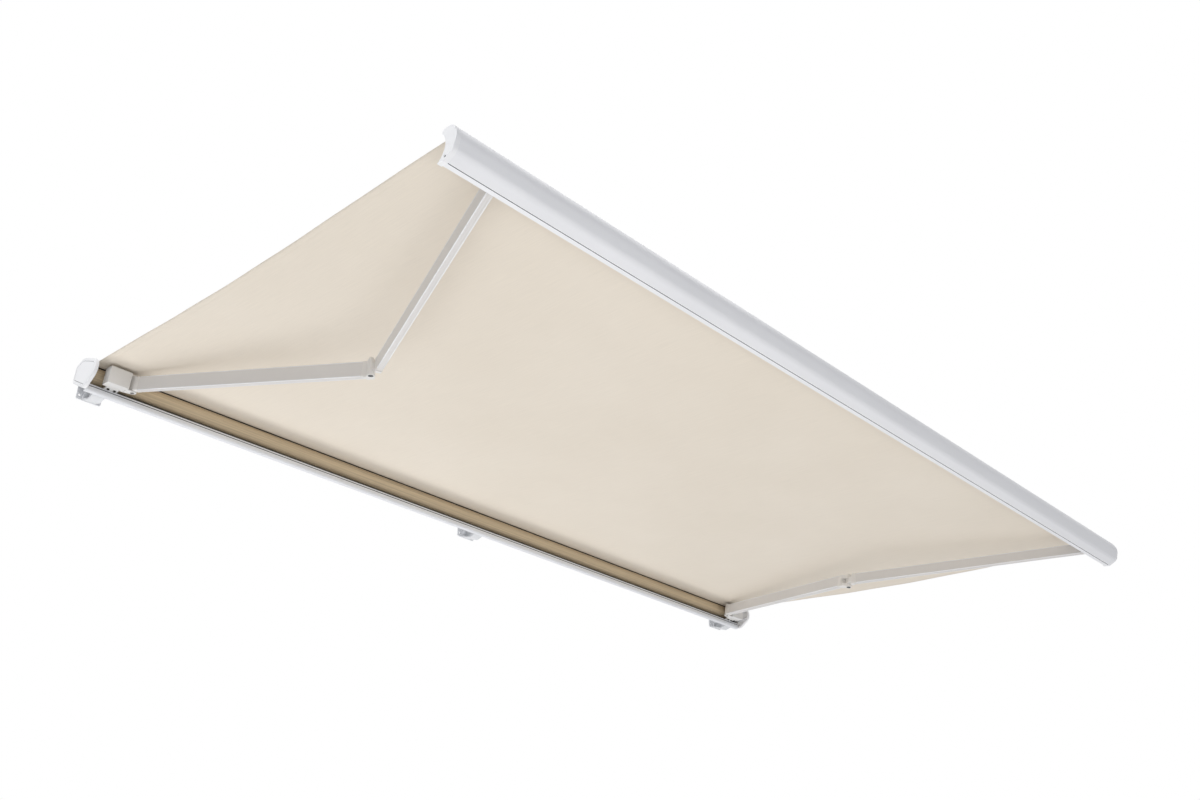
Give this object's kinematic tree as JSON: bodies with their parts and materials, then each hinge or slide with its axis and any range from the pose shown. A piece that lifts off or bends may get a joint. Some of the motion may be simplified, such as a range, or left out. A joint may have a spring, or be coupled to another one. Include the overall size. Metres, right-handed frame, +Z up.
{
  "type": "retractable awning",
  "caption": "House folding-arm awning: long cassette with roller, jointed arms with leaning hinges, front bar and sloping cloth, on wall brackets.",
  "frame": {"origin": "on the wall face, in the middle of the centre bracket's four bolt holes", "axes": "+X along the wall, +Y into the wall, +Z up; the awning runs out towards -Y"},
  "size_m": [5.04, 2.9873, 0.4498],
  "materials": {
    "housing_paint": "satin white powder coat",
    "cap_plastic": "fine grained white",
    "panel_plastic": "fine grained white",
    "bar_paint": "satin white powder coat",
    "seal_brush": "matt dark lips",
    "screw_steel": "dull zinc",
    "roller_steel": "galvanised",
    "inner_plastic": "matt black",
    "motor_metal": "satin",
    "cloth": "woven beige acrylic",
    "keder_plastic": "smooth",
    "shoulder_paint": "satin white powder coat",
    "pin_steel": "turned",
    "bush_plastic": "matt dark",
    "casting_paint": "satin white on a casting",
    "knob_plastic": "white cover cap",
    "arm_paint": "satin white powder coat",
    "rivet_aluminium": "satin",
    "spring_steel": "oiled",
    "cable_coating": "black coating",
    "bracket_paint": "satin white on a casting",
    "clamp_paint": "satin white on a casting"
  },
  "bodies": {
    "cassette": {"cassette_housing": "housing_paint", "rail_seal": "seal_brush", "end_cap_left": "cap_plastic", "end_cap_right": "cap_plastic", "cap_panels": "panel_plastic", "end_cap_screws": "screw_steel", "roller_plates": "roller_steel", "idler_pin": "roller_steel", "tube_motor": "motor_metal", "shoulder_bracket_left": "shoulder_paint", "shoulder_bracket_right": "shoulder_paint", "shoulder_pin_left": "pin_steel", "shoulder_pin_right": "pin_steel", "shoulder_screws": "screw_steel", "wall_bracket_left": "bracket_paint", "wall_bracket_centre": "bracket_paint", "wall_bracket_right": "bracket_paint", "bracket_clamps": "clamp_paint", "bracket_bolts": "screw_steel", "awning_cloth": "cloth"},
    "roller": {"roller_tube": "roller_steel", "wound_cloth": "cloth", "idler_plug": "inner_plastic", "motor_crown": "inner_plastic", "drive_wheel": "inner_plastic"},
    "rear_arm_left": {"rear_arm_root_left": "casting_paint", "rear_arm_tube_left": "arm_paint", "elbow_fork_left": "casting_paint", "elbow_pin_left": "knob_plastic", "shoulder_bushes_left": "bush_plastic", "rear_arm_rivets_left": "rivet_aluminium"},
    "forearm_left": {"elbow_tongue_left": "casting_paint", "forearm_tube_left": "arm_paint", "forearm_eye_left": "casting_paint", "arm_spring_left": "spring_steel", "arm_cable_left": "cable_coating", "forearm_rivets_left": "rivet_aluminium"},
    "rear_arm_right": {"rear_arm_root_right": "casting_paint", "rear_arm_tube_right": "arm_paint", "elbow_fork_right": "casting_paint", "elbow_pin_right": "knob_plastic", "shoulder_bushes_right": "bush_plastic", "rear_arm_rivets_right": "rivet_aluminium"},
    "forearm_right": {"elbow_tongue_right": "casting_paint", "forearm_tube_right": "arm_paint", "forearm_eye_right": "casting_paint", "arm_spring_right": "spring_steel", "arm_cable_right": "cable_coating", "forearm_rivets_right": "rivet_aluminium"},
    "front_bar": {"front_bar": "bar_paint", "bar_cap_left": "cap_plastic", "bar_cap_right": "cap_plastic", "bar_cap_screws": "screw_steel", "cloth_keder": "keder_plastic", "front_joint_left": "casting_paint", "front_joint_right": "casting_paint", "front_pin_left": "pin_steel", "front_pin_right": "pin_steel", "front_joint_screws": "screw_steel"}
  },
  "joints": [
    {"name": "shoulder_left", "type": "hinge", "parent": "cassette", "child": "rear_arm_left", "pos_m": [-2.305, -0.225, -0.004], "axis": [-0.1223, -0.1037, 0.9871], "range_deg": [0, 70.47], "deforming": ["awning_cloth"]},
    {"name": "elbow_left", "type": "hinge", "parent": "rear_arm_left", "child": "forearm_left", "pos_m": [-1.82921, -1.56943, -0.26597], "axis": [-0.1223, -0.1037, 0.9871], "range_deg": [-140.94, 0]},
    {"name": "front_hinge_left", "type": "hinge", "parent": "forearm_left", "child": "front_bar", "pos_m": [-2.305, -2.93895, -0.28925], "axis": [-0.1223, -0.1037, 0.9871], "range_deg": [0, 70.48]},
    {"name": "shoulder_right", "type": "hinge", "parent": "cassette", "child": "rear_arm_right", "pos_m": [2.305, -0.225, -0.004], "axis": [0.1223, -0.1037, 0.9871], "range_deg": [-70.48, 0]},
    {"name": "elbow_right", "type": "hinge", "parent": "rear_arm_right", "child": "forearm_right", "pos_m": [1.82921, -1.56943, -0.26597], "axis": [0.1223, -0.1037, 0.9871], "range_deg": [0, 140.94]},
    {"name": "roller_spin", "type": "hinge", "parent": "cassette", "child": "roller", "pos_m": [0, -0.115, 0.023], "axis": [1, 0, 0], "range_deg": [-3250, 0]}
  ],
  "couplings": [
    {"joint": "elbow_left", "follows": "shoulder_left", "ratio": -2},
    {"joint": "front_hinge_left", "follows": "shoulder_left", "ratio": 1},
    {"joint": "shoulder_right", "follows": "shoulder_left", "ratio": -1},
    {"joint": "elbow_right", "follows": "shoulder_left", "ratio": 2},
    {"joint": "roller_spin", "follows": "shoulder_left", "ratio": -46}
  ]
}
